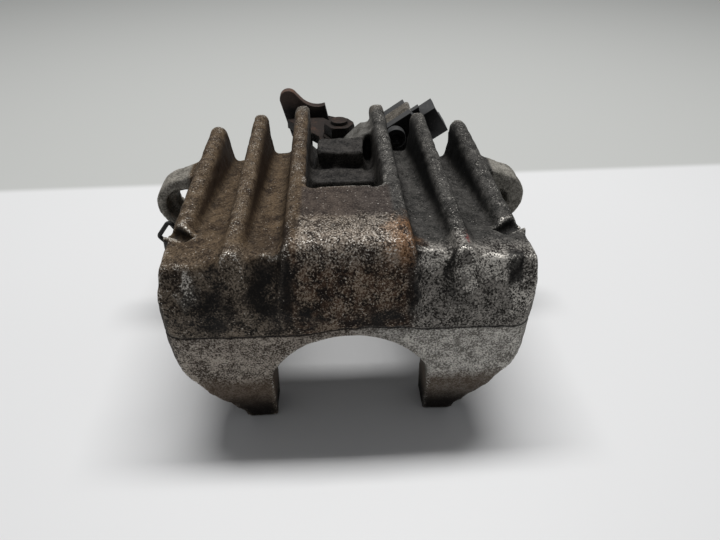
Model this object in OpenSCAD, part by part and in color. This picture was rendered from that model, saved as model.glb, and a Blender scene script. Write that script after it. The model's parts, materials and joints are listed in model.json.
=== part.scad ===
// Single-piston floating rear brake caliper with a parking brake lever.
// Origin: centre of the piston's pad face. +Y from the fingers to the cylinder, +Z up.

/* [Brake fit] */
// Bore of the cylinder
bore_d = 38.2; // [34:0.1:42]
// Gap between the fingers' pad faces and the piston's face
disc_gap = 47; // [42:0.5:54]
// Distance between the two guide bolt holes
bolt_span = 126; // [123:0.5:132]
// Diameter of a guide bolt hole
bolt_hole_d = 9; // [7:0.1:10]
// Diameter of the hose port's thread
hose_d = 9; // [8:0.1:10]
// Clearance of a running fit, on the radius
run_clear = 0.04; // [0.02:0.01:0.08]
// Clearance round a piece that passes through a hole, on the radius
pass_gap = 0.4; // [0.3:0.05:0.7]

/* [Bridge] */
// Height of the middle rib crests over the bore axis
crest_z = 49; // [47:0.5:53]
// Width of the bridge
bridge_w = 116; // [111:0.5:118]
// Radius of the arched top, across the bridge
crown_r = 215; // [190:1:260]
// Radius of an inner rib's rounded crest
rib_r = 3.25; // [2.5:0.05:4]
// Radius of an outer rib's rounded crest
outer_rib_r = 3.9; // [3:0.05:4.3]
// Slope of a rib's flanks
rib_draft = 8; // [5:0.5:11]
// Depth of the channels at their rear ends
rib_depth = 18; // [14:0.5:20]
// Depth of the outer channels at the front edge
rib_depth_front = 2.2; // [1:0.1:4]
// Depth of the inner channels at the front edge
inner_depth_front = 4.2; // [2:0.1:6]
// Rear ends of the outer ribs
rib_end_y = 44.5; // [42:0.5:47]
// How far the two middle ribs reach out behind the outer ones
rib_tail = 9.5; // [5:0.5:10]
// How far the second ribs reach out behind the outer ones
second_tail = 3.5; // [0.5:0.5:5]
// How far the right outer rib reaches out behind the left one
right_tail = 4; // [1:0.5:6]
// Depth of the channels in the front face, under its upper edge
face_depth = 3; // [1.5:0.1:4]
// Width of the window between the middle ribs
window_w = 26; // [22:0.5:28]
// Front edge of the window
window_y = -22; // [-26:0.5:-14]
// Height of the bridge's underside over the bore axis
under_z = 27; // [25:0.5:29]

/* [Fingers] */
// Thickness of the fingers
finger_t = 15; // [12:0.5:18]
// Width between the fingers
arch_w = 50.4; // [48:0.2:54]
// Radius of the arch between the fingers
arch_r = 28; // [27.5:0.5:30]
// Height of the arch's crown
arch_top_z = 17.2; // [16:0.2:19]
// Height of the casting's parting line
parting_z = 21.5; // [20:0.5:25]

/* [Cylinder] */
// Wall of the cylinder
wall_t = 5.9; // [4.5:0.1:7]
// Length of the piston
piston_len = 44; // [42:0.5:48]
// Piston stand-out at rest
stand_out = 4; // [3.6:0.1:5]
// Outer radius of an ear
ear_r = 11.25; // [10.75:0.25:13]
// Thickness of an ear
ear_t = 12; // [9:0.5:15]

/* [Parking brake] */
// Diameter of the cam shaft
shaft_d = 13; // [11:0.25:14]
// Length of the lever, pivot to hook
lever_len = 33; // [30:0.5:38]
// Direction of the lever at rest, from +X
lever_rest = 128; // [120:1:135]
// Thickness of the lever
lever_t = 4.5; // [3.5:0.25:5.5]
// Diameter of the adjuster spindle's thread
spindle_d = 10; // [8:0.25:11]
// Diameter of the push rod
rod_d = 4; // [3:0.1:4.4]
// Tilt of the cable bracket's walls
bracket_tilt = 34; // [25:1:40]

/* [Hidden] */
$fn = 64;
eps = 0.01;
bore_r = bore_d / 2;
cyl_r = bore_r + wall_t;
tip_z = -cyl_r;
piston_r = bore_r - run_clear;
core_r = bore_r - 4.6;
lip_r = core_r - 4.1;
pad_y = -disc_gap;
front_y = pad_y - finger_t;
half_w = bridge_w / 2;
rib_x = [16.4, 34.3, half_w - outer_rib_r - 1.45];
tails = [rib_tail, second_tail];
side_draft = [3, 1.7];
notch_y = pad_y + 9;
plateau_z = crest_z - 6.8;
lump_z = crest_z - 6.2;
mouth_y = stand_out;
boot_end_y = mouth_y + 6;
bore_end_y = piston_len + 4;
pocket_end_y = bore_end_y + 8;
bush_r = shaft_d / 2 + 1.5;
shaft_y = pocket_end_y + 5 + bush_r;
tower_r = bush_r + 5;
tower_z = 15;
lever_z = tower_z + 6.5;
shaft_depth = tower_z - tip_z - 5;
nut_y = 12;
nut_end_y = piston_len - 13;
axle_z = -104;
under_r = under_z - axle_z;
arch_z = arch_top_z - arch_r;
ear_x = bolt_span / 2;
ear_z = 24.3;
ear_y = mouth_y + 4;
port_y = bore_end_y - 2;
port_z = 2;
port_x = 37;
cam_flat = shaft_d / 2 - 3;
stop_r = 2;
arm_w = 8;
hook_t = 4.4;
hub_r = 10;
bracket_x = 25.7;
bracket_z = 32.2;
bolt_r = 3;
foot_y = pocket_end_y - 1;
foot_t = 5;
lug_y = foot_y + foot_t;
lug_t = 11;
clip_x = -ear_x - 3;
clip_z = ear_z - 8.9;
clip_y = ear_y - 2.6;
clip_r = 0.9;

// Drop of the arched top below its crown at a distance from the middle
function sag(x) = crown_r - sqrt(crown_r * crown_r - x * x);

// Points of an arc
function arc(cx, cy, r, a0, a1, n) =
    [for (i = [0 : n]) [cx + r * cos(a0 + (a1 - a0) * i / n), cy + r * sin(a0 + (a1 - a0) * i / n)]];

// Outline mirrored to the other side of the middle plane
function both(p) = concat(p, [for (i = [len(p) - 1 : -1 : 0]) [-p[i][0], p[i][1]]]);

// Height of the tilted top over the bracket's bolt, at a distance to the right of the bolt
function over_bolt(x) = bracket_z + 6 + x * tan(bracket_tilt);

// X-Z outline drawn out along Y
module along_y(y0, y1) {
    translate([0, y1, 0]) rotate([90, 0, 0]) linear_extrude(height = y1 - y0) children();
}

// Y-Z outline drawn out along X
module along_x(x0, x1) {
    translate([x0, 0, 0]) rotate([90, 0, 90]) linear_extrude(height = x1 - x0) children();
}

// Round bar along Y
module bar_y(r, y0, y1) {
    translate([0, y0, 0]) rotate([-90, 0, 0]) cylinder(r = r, h = y1 - y0);
}

// Round bar along X
module bar_x(r, x0, x1) {
    translate([x0, 0, 0]) rotate([0, 90, 0]) cylinder(r = r, h = x1 - x0);
}

// Ring along Y
module ring_y(r0, r1, y0, y1) {
    difference() {
        bar_y(r1, y0, y1);
        bar_y(r0, y0 - 1, y1 + 1);
    }
}

// Ring along Z
module ring_z(r0, r1, z0, z1) {
    difference() {
        translate([0, 0, z0]) cylinder(r = r1, h = z1 - z0);
        translate([0, 0, z0 - 1]) cylinder(r = r0, h = z1 - z0 + 2);
    }
}

// Round wire through a list of points, with a ring of sides at each point
module wire(path, r, sides) {
    n = len(path);
    t = [for (i = [0 : n - 1]) path[min(i + 1, n - 1)] - path[max(i - 1, 0)]];
    a = [for (i = [0 : n - 1]) cross(t[i], [0, 0, 1]) / norm(cross(t[i], [0, 0, 1]))];
    b = [for (i = [0 : n - 1]) cross(t[i], a[i]) / norm(cross(t[i], a[i]))];
    pts = [for (i = [0 : n - 1]) for (k = [0 : sides - 1])
        path[i] + r * (cos(360 * k / sides) * a[i] + sin(360 * k / sides) * b[i])];
    walls = [for (i = [0 : n - 2]) for (k = [0 : sides - 1])
        [i * sides + k, (i + 1) * sides + k,
            (i + 1) * sides + (k + 1) % sides, i * sides + (k + 1) % sides]];
    first = [for (k = [0 : sides - 1]) k];
    last = [for (k = [sides - 1 : -1 : 0]) (n - 1) * sides + k];
    polyhedron(points = pts, faces = concat(walls, [first, last]), convexity = 6);
}

// Points of a coil about Z, from one height to another
function coil(r, z0, z1, turns, a0) =
    [for (i = [0 : round(turns * 20)])
        [r * cos(a0 + 18 * i), r * sin(a0 + 18 * i), z0 + (z1 - z0) * i / round(turns * 20)]];

// Side outline of the casting: front face, rounded front edge, crest and rear end with an overhang
module side_outline(inset, tail) {
    top = crest_z - inset * 0.2;
    edge_y = front_y + 11.5 + inset;
    end_y = rib_end_y + tail;
    polygon(concat(
        [[rib_end_y, tip_z], [rib_end_y, crest_z - 15]],
        arc(end_y - 5, crest_z - 5, 5, -5, 90, 5),
        arc(edge_y, top - 6, 6, 90, 166, 6),
        [[front_y + inset * 0.5, parting_z + 6], [front_y, parting_z], [front_y + 0.3, -6],
            [front_y + 4, tip_z]]));
}

// Plan outline of the bridge with rounded corners
module plan_outline() {
    r = 7;
    polygon(concat(
        arc(half_w - r, front_y + r, r, -90, 0, 6),
        arc(half_w - 3, rib_end_y - 3, 3, 0, 90, 3),
        arc(-half_w + 3, rib_end_y - 3, 3, 90, 180, 3),
        arc(-half_w + r, front_y + r, r, 180, 270, 6)));
}

// One rib with a rounded crest, from a front end to a rear end
module rib(x, y0, y1, r) {
    top = crest_z - sag(x);
    foot = under_z - 12;
    reach = r * cos(rib_draft) + (top - r - foot) * tan(rib_draft);
    along_y(y0, y1) polygon(concat(
        [[x + reach, foot]],
        arc(x, top - r, r, rib_draft, 180 - rib_draft, 8),
        [[x - reach, foot]]));
}

// Arched floor of the channels between two sides, sloping down to the rear
module channel_floor(x0, x1, depth) {
    y0 = front_y + 12;
    fall = atan((rib_depth - depth) / (rib_end_y - y0));
    intersection() {
        translate([x0, front_y, under_z - 12]) cube([x1 - x0, rib_end_y - front_y, 60]);
        translate([0, y0, crest_z - depth]) rotate([-fall, 0, 0])
            translate([0, -40, -crown_r]) rotate([-90, 0, 0]) cylinder(r = crown_r, h = 220, $fn = 128);
    }
}

// Flat front corners, ahead of the short outer ribs
module corner_plateau() {
    foot = under_z - 12;
    for (x0 = [rib_x[1], -half_w]) along_x(x0, x0 + half_w - rib_x[1])
        polygon([[front_y, foot], [front_y, plateau_z], [notch_y - 3, plateau_z],
            [notch_y + 3, plateau_z - 2.4], [notch_y + 3, foot]]);
}

// Crest-high pad between the middle ribs, ahead of the window
module centre_pad() {
    intersection() {
        translate([-rib_x[0], front_y, under_z - 12])
            cube([2 * rib_x[0], window_y + 8 - front_y, crest_z - under_z + 12]);
        translate([0, front_y, crest_z - 0.3 - crown_r]) rotate([-90, 0, 0])
            cylinder(r = crown_r, h = 120, $fn = 128);
    }
}

// Bridge over the disc: floor, ribs and centre pad
module bridge() {
    difference() {
        union() {
            intersection() {
                translate([0, 0, tip_z]) linear_extrude(height = 90) plan_outline();
                union() {
                    channel_floors();
                    intersection() {
                        corner_plateau();
                        along_x(-half_w, half_w) side_outline(face_depth / 2, 0);
                    }
                    intersection() {
                        union() {
                            centre_pad();
                            for (s = [-1, 1]) rib(s * rib_x[2], notch_y + 2, rib_end_y, outer_rib_r);
                        }
                        along_x(-half_w, half_w) side_outline(0, 0);
                    }
                }
            }
            for (i = [0, 1]) intersection() {
                for (s = [-1, 1]) rib(s * rib_x[i], front_y, rib_end_y + tails[i], rib_r);
                along_x(-half_w, half_w) side_outline(0, tails[i]);
            }
            intersection() {
                rib(rib_x[2], rib_end_y - 12, rib_end_y + right_tail, outer_rib_r);
                along_x(0, half_w - 0.3) side_outline(0, right_tail);
            }
        }
        translate([0, 0, axle_z]) bar_y(under_r, pad_y, rib_end_y + 1, $fn = 160);
        for (s = [-1, 1]) translate([s * rib_x[2], notch_y, crest_z - 7])
            rotate([0, 0, s * 35]) cube([10.5, 5.5, 9], center = true);
        for (i = [0, 1]) mirror([1 - i, 0, 0]) along_y(front_y - 1, notch_y - 2)
            polygon([[half_w, parting_z + 2], [half_w - side_draft[i], plateau_z + 1],
                [half_w + 1, plateau_z + 1], [half_w + 1, parting_z + 2]]);
    }
}

// Floors of the inner and outer channels, which go on down the front face
module channel_floors() {
    intersection() {
        union() {
            channel_floor(-rib_x[1] - 1, rib_x[1] + 1, inner_depth_front);
            channel_floor(rib_x[1] - 1, half_w, rib_depth_front);
            channel_floor(-half_w, -rib_x[1] + 1, rib_depth_front);
        }
        along_x(-half_w, half_w) side_outline(face_depth, 0);
    }
}

// Outer wall with the two fingers
module fingers() {
    outer = [[half_w - 0.2, parting_z], [half_w - 0.5, 12.5], [half_w - 2, 6.5], [half_w - 4.8, 1],
        [half_w - 8.2, -4], [half_w - 11.4, -9.5], [half_w - 16.2, -15.5], [half_w - 20, -21],
        [half_w - 21.5, tip_z]];
    intersection() {
        along_y(front_y, pad_y) polygon(both(outer));
        along_x(-half_w, half_w) side_outline(0, 0);
        translate([0, 0, tip_z]) linear_extrude(height = 90) plan_outline();
    }
}

// Arch between the fingers
module finger_arch() {
    side = concat([[arch_w / 2 + 1, tip_z - 1]],
        arc(0, arch_z, arch_r, acos(arch_w / 2 / arch_r), 90, 14));
    along_y(front_y - 1, pad_y + eps) polygon(both(side));
}

// Cylinder with its saddle under the bridge, the ears and the rear tower
module cylinder_block() {
    bar_y(cyl_r, mouth_y, pocket_end_y + 1);
    translate([0, pocket_end_y, 0]) rotate([-90, 0, 0])
        cylinder(r1 = cyl_r, r2 = tower_r + 1, h = shaft_y - pocket_end_y);
    saddle = [[cyl_r - 1, -4], [36, 15], [47, 22], [47, 25]];
    along_y(mouth_y, rib_end_y) polygon(both(saddle));
    for (s = [-1, 1]) {
        web = [[s * 38, 7], [s * (ear_x - 2), ear_z - ear_r + 0.4],
            [s * (ear_x + 5), ear_z + ear_r - 1.6], [s * (half_w + 0.4), crest_z - 11],
            [s * 50, crest_z - 12], [s * 47, 25], [s * 38, 21]];
        along_y(ear_y, ear_y + ear_t) polygon(web);
        translate([s * ear_x, 0, ear_z]) bar_y(ear_r, ear_y, ear_y + ear_t);
    }
    translate([0, shaft_y, tip_z]) cylinder(r = tower_r, h = tower_z + 1 - tip_z);
    translate([0, port_y, port_z]) bar_x(9, cyl_r - 8, port_x);
    translate([0, port_y, port_z]) bar_x(8, -port_x, -cyl_r + 8);
    lug = [[3, 4], [16, 6], [bracket_x + 8, 26], [bracket_x + 8, over_bolt(6) - 0.4],
        [bracket_x + 6, over_bolt(6) - 0.4], [bracket_x - 6, over_bolt(-6) - 0.4],
        [bracket_x - 9, 22], [3, tower_z - 2]];
    along_y(lug_y, lug_y + lug_t) polygon(lug);
    stop_at() translate([0, 0, 2]) cylinder(r = 4.5, h = tower_z - 2.6);
}

// Deck, step and gusset seen through the window between the middle ribs
module window_deck() {
    w = window_w / 2;
    along_x(-w + 3, w - 4) polygon(concat(
        [[mouth_y + 13, 22]],
        arc(mouth_y + 14.2, lump_z - 2, 2, 180, 90, 4),
        arc(mouth_y + 24, lump_z - 5, 5, 90, 10, 5),
        [[mouth_y + 31, 22]]));
    along_y(rib_end_y - 13.5, rib_end_y - 1) polygon([[-1, 24], [0.5, lump_z - 6.6], [6, lump_z - 1.1],
        [8.6, lump_z + 1.1], [rib_x[0], lump_z + 1.8], [rib_x[0], 24]]);
}

// Window through the bridge, with the deck behind it cut low
module window_cut() {
    w = window_w / 2;
    linear_extrude(height = 90) polygon(concat(
        arc(w - 4, window_y + 4, 4, -90, 0, 4), [[w, mouth_y], [-w, mouth_y]],
        arc(-w + 4, window_y + 4, 4, 180, 270, 4)));
    translate([-w, mouth_y - 1, crest_z - 13]) cube([window_w, 14, 20]);
    translate([-w, mouth_y + 12, crest_z - 16.5]) cube([window_w, rib_end_y - mouth_y, 24]);
}

// Place of the lever's stop pin
module stop_at() {
    off = arm_w + stop_r + 0.1;
    translate([0, shaft_y, 0]) rotate([0, 0, lever_rest]) translate([12, off, 0]) children();
}

// Main casting
module caliper_housing() {
    color("silver") difference() {
        union() {
            difference() {
                union() {
                    bridge();
                    fingers();
                }
                window_cut();
                finger_arch();
            }
            difference() {
                cylinder_block();
                window_deep();
            }
            window_deck();
        }
        bar_y(bore_r, mouth_y - 1, bore_end_y);
        bar_y(bore_r + 3.7, mouth_y - 1, boot_end_y);
        bar_y(bore_r + 2.4, boot_end_y + 3, boot_end_y + 6.2);
        bar_y(13.5, bore_end_y - 1, pocket_end_y);
        bar_y(14.6, bore_end_y + 0.9, bore_end_y + 2.1);
        bar_y(spindle_d / 2 - 0.5, pocket_end_y - 1, shaft_y);
        translate([0, shaft_y, tower_z - shaft_depth]) cylinder(r = bush_r, h = shaft_depth + 40);
        translate([0, shaft_y, tower_z - 3]) cylinder(r = bush_r + 1.5, h = 43);
        translate([0, shaft_y, tower_z]) cylinder(r = tower_r + 0.3, h = 40);
        for (s = [-1, 1]) translate([s * ear_x, 0, ear_z])
            bar_y(bolt_hole_d / 2, ear_y - 1, ear_y + ear_t + 1);
        translate([-ear_x, 0, ear_z]) bar_y(bolt_hole_d / 2 + 3, ear_y - 1, ear_y + 5);
        translate([clip_x, 0, clip_z]) bar_y(clip_r + 0.06, ear_y - 1, ear_y + ear_t + 1);
        translate([0, port_y, port_z]) {
            bar_x(hose_d / 2, port_x - 12, port_x + 1);
            bar_x(1.5, bore_r - 2, port_x);
            bar_x(4, -port_x - 1, -port_x + 11);
            bar_x(1.5, -port_x, -bore_r + 2);
        }
        translate([bracket_x, 0, bracket_z]) bar_y(bolt_r, lug_y - 1, lug_y + lug_t + 1);
        stop_at() translate([0, 0, tower_z - 9]) cylinder(r = stop_r, h = 12);
    }
}

// Room over the rear deck that the saddle leaves free
module window_deep() {
    w = window_w / 2;
    translate([-w, mouth_y + 12, crest_z - 16.5]) cube([window_w, rib_end_y, 24]);
}

// Square-section seal ring
module piston_seal() {
    color("dimgray") ring_y(bore_r, bore_r + 2.38, boot_end_y + 3.05, boot_end_y + 6.15);
}

// Steel ring that holds the boot in the cylinder's mouth
module boot_ring() {
    color("gray") ring_y(bore_r + 2.15, bore_r + 3.68, mouth_y + 0.6, boot_end_y - 0.02);
}

// Rubber boot from the mouth ring to the piston's groove
module dust_boot() {
    color("black") rotate([-90, 0, 0]) rotate_extrude() polygon([
        [bore_r + 2.13, boot_end_y - 0.5], [bore_r + 1.4, boot_end_y - 0.5],
        [bore_r + 1.4, 2.9], [piston_r - 1.35, 2.7], [piston_r - 1.35, 1.5], [bore_r + 0.6, 1.5],
        [bore_r + 2.13, 2.4]]);
}

// Cup that holds the spindle's return spring
module spring_cup() {
    color("goldenrod") difference() {
        union() {
            bar_y(13.3, bore_end_y + 2.12, bore_end_y + 3.1);
            bar_y(10.4, bore_end_y - 6.5, bore_end_y + 3);
        }
        bar_y(9.6, bore_end_y - 5.7, bore_end_y + 4);
        bar_y(spindle_d / 2 + 0.8, bore_end_y - 8, bore_end_y);
    }
}

// Snap ring in the pocket behind the bore
module cup_clip() {
    color("gray") difference() {
        ring_y(11.6, 14.45, bore_end_y + 0.98, bore_end_y + 2.08);
        translate([-2.5, bore_end_y, -20]) cube([5, 3, 20]);
    }
}

// Spring that draws the spindle back
module spindle_spring() {
    color("gray") rotate([-90, 0, 0])
        wire(coil(7.6, bore_end_y - 4.8, bore_end_y + 2.9, 4, 0), 0.8, 8);
}

// Washer behind the spindle's flange
module thrust_washer() {
    color("tan") ring_y(spindle_d / 2 + pass_gap, 10, pocket_end_y - 1.5, pocket_end_y - 0.03);
}

// Bushes of the cam shaft
module upper_bush() {
    color("peru") translate([0, shaft_y, 0])
        ring_z(shaft_d / 2 + run_clear, bush_r - 0.01, tower_z - 9, tower_z - 3.05);
}

module lower_bush() {
    color("peru") translate([0, shaft_y, 0])
        ring_z(shaft_d / 2 + run_clear, bush_r - 0.01,
            tower_z - shaft_depth + 0.05, tower_z - shaft_depth + 11);
}

// Lip seal at the top of the tower
module shaft_seal() {
    color("black") translate([0, shaft_y, 0])
        ring_z(shaft_d / 2 + 0.05, bush_r + 1.48, tower_z - 2.95, tower_z + 0.1);
}

// Pin that the lever rests on
module stop_pin() {
    pin_len = lever_z + lever_t - tower_z + 9;
    color("gray") stop_at() translate([0, 0, tower_z - 8.9]) {
        cylinder(r = stop_r - 0.01, h = pin_len);
        translate([0, 0, pin_len]) cylinder(r1 = stop_r - 0.01, r2 = stop_r - 0.6, h = 0.7);
    }
}

// Torsion spring round the cam shaft, with its two legs
module return_spring() {
    z0 = tower_z + 1.05;
    r = bush_r + 1.2;
    body = coil(r, z0, z0 + 3.9, 2, lever_rest - 60);
    a = lever_rest - 60;
    leg0 = [for (i = [5 : -1 : 1]) [r * cos(a) + 2 * i * sin(a), r * sin(a) - 2 * i * cos(a), z0]];
    leg1 = [for (i = [1 : 5]) [r * cos(a) - 2 * i * sin(a), r * sin(a) + 2 * i * cos(a), z0 + 3.9]];
    color("gray") translate([0, shaft_y, 0]) wire(concat(leg0, body, leg1), 0.9, 8);
}

// Cable bracket: bolted foot, side arm and two tilted walls with a rear slot for the cable's sheath
module cable_bracket() {
    back_y = lug_y + 13;
    wall_y = 13;
    color("dimgray") difference() {
        union() {
            along_y(foot_y, lug_y - 0.02) polygon([
                [bracket_x - 7, bracket_z - 7], [bracket_x - 7, over_bolt(-7)],
                [bracket_x + 6.5, over_bolt(6.5)], [bracket_x + 11, bracket_z + 6],
                [bracket_x + 15, bracket_z - 8], [bracket_x + 6, bracket_z - 12]]);
            translate([bracket_x + 9, foot_y, bracket_z - 17]) cube([6, back_y + 8 - foot_y, 17]);
            cable_frame(back_y) {
                translate([-12.5, 0, -13]) cube([13, wall_y, 21.7]);
                translate([5, 0, -13]) cube([7.5, wall_y, 14]);
                translate([-12.5, 0, -13]) cube([24, wall_y, 5]);
                translate([0, wall_y - 4, -1]) cube([5.5, 3.8, 3.2]);
            }
        }
        translate([bracket_x, 0, bracket_z]) bar_y(bolt_r + pass_gap, foot_y - 1, lug_y + 1);
        cable_frame(back_y) translate([-20, 5, -7.6]) cube([40, wall_y, 6.4]);
    }
}

// Tilted frame of the bracket's walls
module cable_frame(y) {
    translate([bracket_x + 11.3, y, bracket_z - 2.2]) rotate([0, -bracket_tilt, 0]) children();
}

// Socket-head bolt of the bracket
module bracket_bolt() {
    head_t = 4.6;
    color("dimgray") translate([bracket_x, 0, bracket_z]) difference() {
        union() {
            bar_y(bolt_r + 1.6, foot_y - head_t, foot_y - 0.02);
            bar_y(bolt_r - 0.02, foot_y - 1, lug_y + lug_t - 1);
        }
        translate([0, foot_y - 1.6, 0]) rotate([90, 0, 0])
            cylinder(r = bolt_r - 0.3, h = head_t, $fn = 6);
    }
}

// Cam shaft with its flat for the push rod
module cam_shaft() {
    r = shaft_d / 2;
    color("darkgray") translate([0, shaft_y, 0]) difference() {
        union() {
            translate([0, 0, tower_z - shaft_depth + 0.4]) cylinder(r = r, h = shaft_depth + 1.6);
            translate([0, 0, tower_z + 0.5]) cylinder(r = r, h = lever_z - tower_z - 0.5);
            translate([0, 0, lever_z - 0.5]) cylinder(r = r - 1, h = lever_t + 0.5);
            translate([0, 0, lever_z + lever_t - 0.5]) cylinder(r = 4, h = 8.6);
        }
        translate([-10, -cam_flat - 10, -6]) cube([20, 10, 12]);
    }
}

// Stamped lever with an upright hook, which has a trough for the cable's end
module parking_lever() {
    a = lever_rest;
    tip = [lever_len * cos(a), lever_len * sin(a)];
    n = [arm_w * -sin(a), arm_w * cos(a)];
    color("saddlebrown") translate([0, shaft_y, 0]) difference() {
        union() {
            translate([0, 0, lever_z]) cylinder(r = hub_r, h = lever_t);
            translate([0, 0, lever_z]) linear_extrude(height = lever_t)
                polygon([n, n + tip, tip - n, -n]);
            translate([tip[0], tip[1], lever_z]) along_y(-hook_t / 2, hook_t / 2) polygon(concat(
                [[-4.5, -6]], arc(-5, 14, 4.6, 184, 50, 8), arc(9.6, 21.4, 11.2, 222, 290, 8),
                [[15, 3.6], [20.2, 2.4], [21, -6]]));
        }
        translate([0, 0, lever_z - 1]) cylinder(r = shaft_d / 2 - 0.98, h = lever_t + 2);
    }
}

// Washer and nut on the lever
module lever_washer() {
    color("gray") translate([0, shaft_y, lever_z + lever_t]) ring_z(4.2, 8, 0.02, 1.2);
}

module lever_nut() {
    z = lever_z + lever_t + 1.22;
    color("saddlebrown") translate([0, shaft_y, 0]) difference() {
        intersection() {
            translate([0, 0, z]) cylinder(r = 7.5, h = 5.4, $fn = 6);
            translate([0, 0, z]) cylinder(r1 = 8.6, r2 = 6.9, h = 5.4);
        }
        translate([0, 0, z - 1]) cylinder(r = 4.02, h = 8);
    }
}

// Adjuster spindle: flange, thread and rear journal
module adjuster_spindle() {
    r = spindle_d / 2;
    color("darkgray") difference() {
        union() {
            bar_y(r, 7, bore_end_y + 4);
            bar_y(9, bore_end_y + 3.8, pocket_end_y - 1.55);
            bar_y(r - 0.55, pocket_end_y - 2, pocket_end_y + 4.4);
        }
        ring_y(r - 1.6, r + 1, pocket_end_y + 1.4, pocket_end_y + 3.3);
        bar_y(rod_d / 2 + 0.05, pocket_end_y - 4, pocket_end_y + 5);
    }
}

// Seal ring on the spindle's journal
module spindle_o_ring() {
    color("black") rotate([-90, 0, 0]) translate([0, 0, pocket_end_y + 2.35]) rotate_extrude()
        translate([spindle_d / 2 - 1.07, 0]) circle(r = 0.5, $fn = 20);
}

// Short rod from the cam's flat to the spindle
module push_rod() {
    color("gray") bar_y(rod_d / 2, pocket_end_y - 3.98, shaft_y - cam_flat - 0.1);
}

// Washer behind the adjuster nut
module nut_washer() {
    color("tan") ring_y(spindle_d / 2 + 1, core_r - 0.9, nut_end_y + 0.4, nut_end_y + 1.6);
}

// Spring that holds the nut on its seat
module nut_spring() {
    color("gray") rotate([-90, 0, 0])
        wire(coil(core_r - 3.3, nut_end_y + 2.4, piston_len - 6.3, 2, 0), 0.8, 8);
}

// Snap ring inside the piston
module piston_clip() {
    color("gray") difference() {
        ring_y(lip_r, core_r + 0.5, piston_len - 5.48, piston_len - 4.4);
        translate([-2.5, piston_len - 6, -bore_r]) cube([5, 3, bore_r - 2]);
    }
}

// Hollow piston with two notches for the wind-back tool
module piston() {
    color("lightgray") difference() {
        bar_y(piston_r, 0, piston_len);
        bar_y(lip_r, 6, piston_len);
        bar_y(core_r, nut_y - 0.4, piston_len + 1);
        bar_y(core_r + 0.9, piston_len - 5.8, piston_len - 4.08);
        ring_y(piston_r - 1.5, piston_r + 2, 1.2, 3);
        for (s = [-1, 1]) translate([s * 12 - 2.5, -1, -2.5]) cube([5, 4, 5]);
    }
}

// Adjuster nut with its conical front
module adjuster_nut() {
    color("darkgray") difference() {
        union() {
            bar_y(core_r - 5.1, nut_y, nut_end_y);
            translate([0, nut_y, 0]) rotate([-90, 0, 0])
                cylinder(r1 = core_r - 2.5, r2 = core_r - 1.1, h = 4);
        }
        bar_y(spindle_d / 2 + run_clear, nut_y - 1, nut_end_y + 1);
    }
}

// Bleed screw: cone, thread, hexagon and nipple
module bleed_screw() {
    color("gray") translate([0, port_y, port_z]) difference() {
        union() {
            translate([-port_x + 11.25, 0, 0]) rotate([0, -90, 0]) cylinder(r1 = 1.2, r2 = 3.4, h = 2.2);
            bar_x(4 - run_clear, -port_x - 1, -port_x + 9.1);
            translate([-port_x - 0.8, 0, 0]) rotate([0, -90, 0]) cylinder(r = 5.5, h = 5, $fn = 6);
            bar_x(2.6, -port_x - 13, -port_x - 5);
            translate([-port_x - 9, 0, 0]) rotate([0, -90, 0]) cylinder(r1 = 3.4, r2 = 2.4, h = 4);
        }
        bar_x(0.9, -port_x - 14, -port_x + 6);
    }
}

// Rubber cap over the nipple
module bleed_cap() {
    color("black") translate([0, port_y, port_z]) difference() {
        union() {
            bar_x(5.2, -port_x - 14.5, -port_x - 6.2);
            translate([-port_x - 14.4, 0, 0]) rotate([0, -90, 0]) cylinder(r1 = 5.2, r2 = 3.6, h = 1.4);
        }
        bar_x(3.4 + pass_gap, -port_x - 13.3, -port_x - 6);
    }
}

// Straight piece of round wire between two points, with round ends
module rod(p, q) {
    d = q - p;
    translate(p) rotate([0, acos(d[2] / norm(d)), atan2(d[1], d[0])])
        cylinder(r = clip_r, h = norm(d), $fn = 24);
    translate(q) sphere(r = clip_r + 0.05, $fn = 24);
}

// Bent wire clip that turns in the left ear
module wire_clip() {
    turn = [[0, ear_y + ear_t + 1.6 - clip_y, 0], [0, 0, 0], [-2.5, 0, 0.4], [-4, 0, 3.9],
        [-9.5, 0, -3.3], [-5.9, 0, -8.3], [-2, 0, -5]];
    color("black") translate([clip_x, clip_y, clip_z]) {
        for (i = [0 : len(turn) - 2]) rod(turn[i], turn[i + 1]);
        rod(turn[0], turn[0] + [-2.2, 0, -2.2]);
        translate(turn[0]) sphere(r = clip_r + 0.05, $fn = 24);
    }
}

caliper_housing();
piston_seal();
boot_ring();
dust_boot();
spring_cup();
cup_clip();
spindle_spring();
thrust_washer();
upper_bush();
lower_bush();
shaft_seal();
stop_pin();
return_spring();
cable_bracket();
bracket_bolt();
cam_shaft();
parking_lever();
lever_washer();
lever_nut();
adjuster_spindle();
spindle_o_ring();
push_rod();
nut_washer();
nut_spring();
piston_clip();
piston();
adjuster_nut();
bleed_screw();
bleed_cap();
wire_clip();
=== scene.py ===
# %% [markdown]
# # Dressing a dirty rear brake caliper
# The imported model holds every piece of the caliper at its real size. This lesson gives it the looks
# of a part that has hung behind a wheel for years: a rough aluminium casting with worn ribs and
# caked dirt, a rusty parking brake lever and a coated cable bracket. Shapes are changed only where a
# casting, a bellows or a bent wire looks different from its construction solid.

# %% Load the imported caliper
import json
import math
from types import SimpleNamespace

import bmesh
import bpy
import numpy as np
from mathutils import Matrix, Vector, noise
from mathutils.bvhtree import BVHTree


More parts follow.
